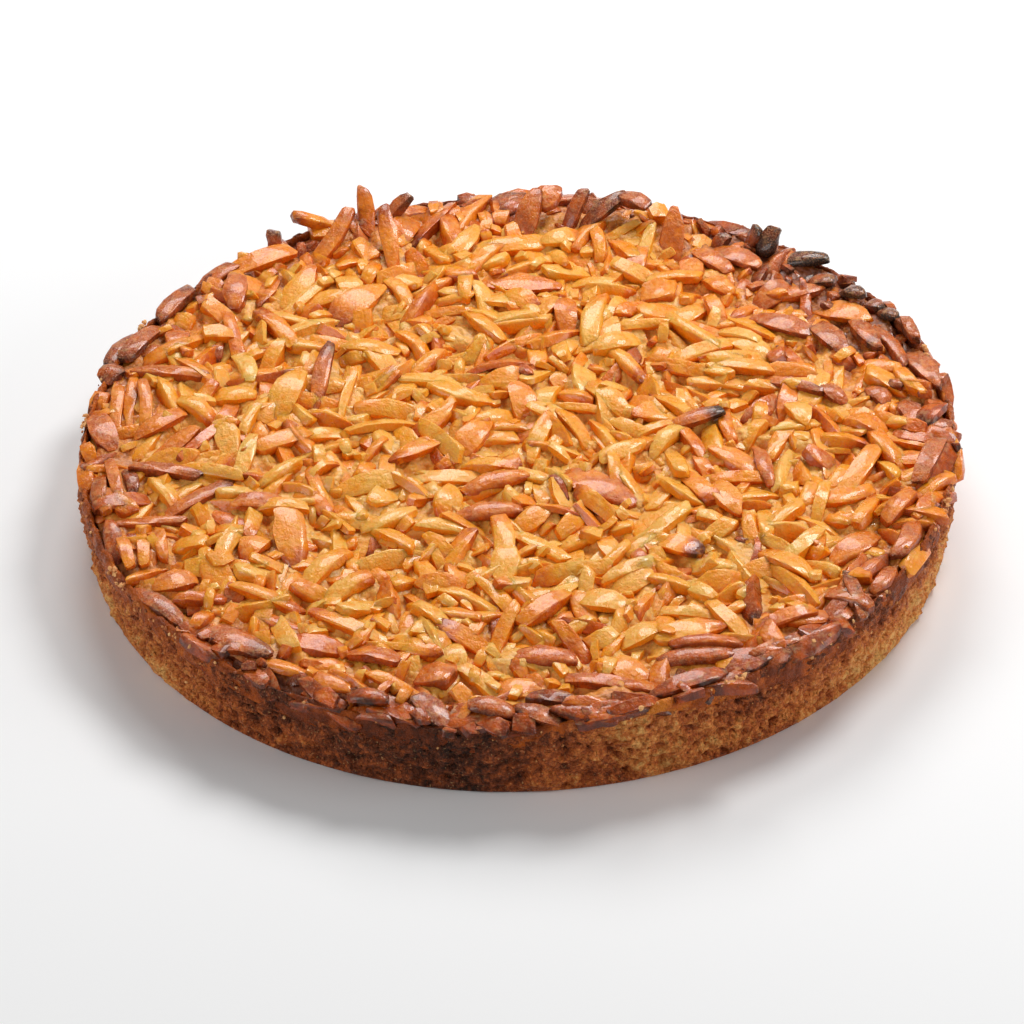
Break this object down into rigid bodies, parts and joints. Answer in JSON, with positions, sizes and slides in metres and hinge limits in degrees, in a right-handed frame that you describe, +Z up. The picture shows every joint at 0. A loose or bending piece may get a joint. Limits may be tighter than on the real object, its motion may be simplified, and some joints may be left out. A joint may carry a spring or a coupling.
{
  "type": "almond tart",
  "caption": "Whole round almond tart: a crumbly baked pastry case filled to its lip, with a dense browned layer of slivered almonds on top.",
  "frame": {"origin": "middle of the tart's flat underside", "axes": "+Z up, through the middle of the tart; -Y is the side that faced the viewer, +X to the viewer's right"},
  "size_m": [0.2592, 0.2587, 0.0364],
  "materials": {
    "crust": "dry, crumbly, baked brown",
    "almonds": "sugar-glazed, satin to glossy, toasted"
  },
  "bodies": {
    "root": {"crust": "crust", "almond_filling": "almonds"}
  },
  "joints": []
}
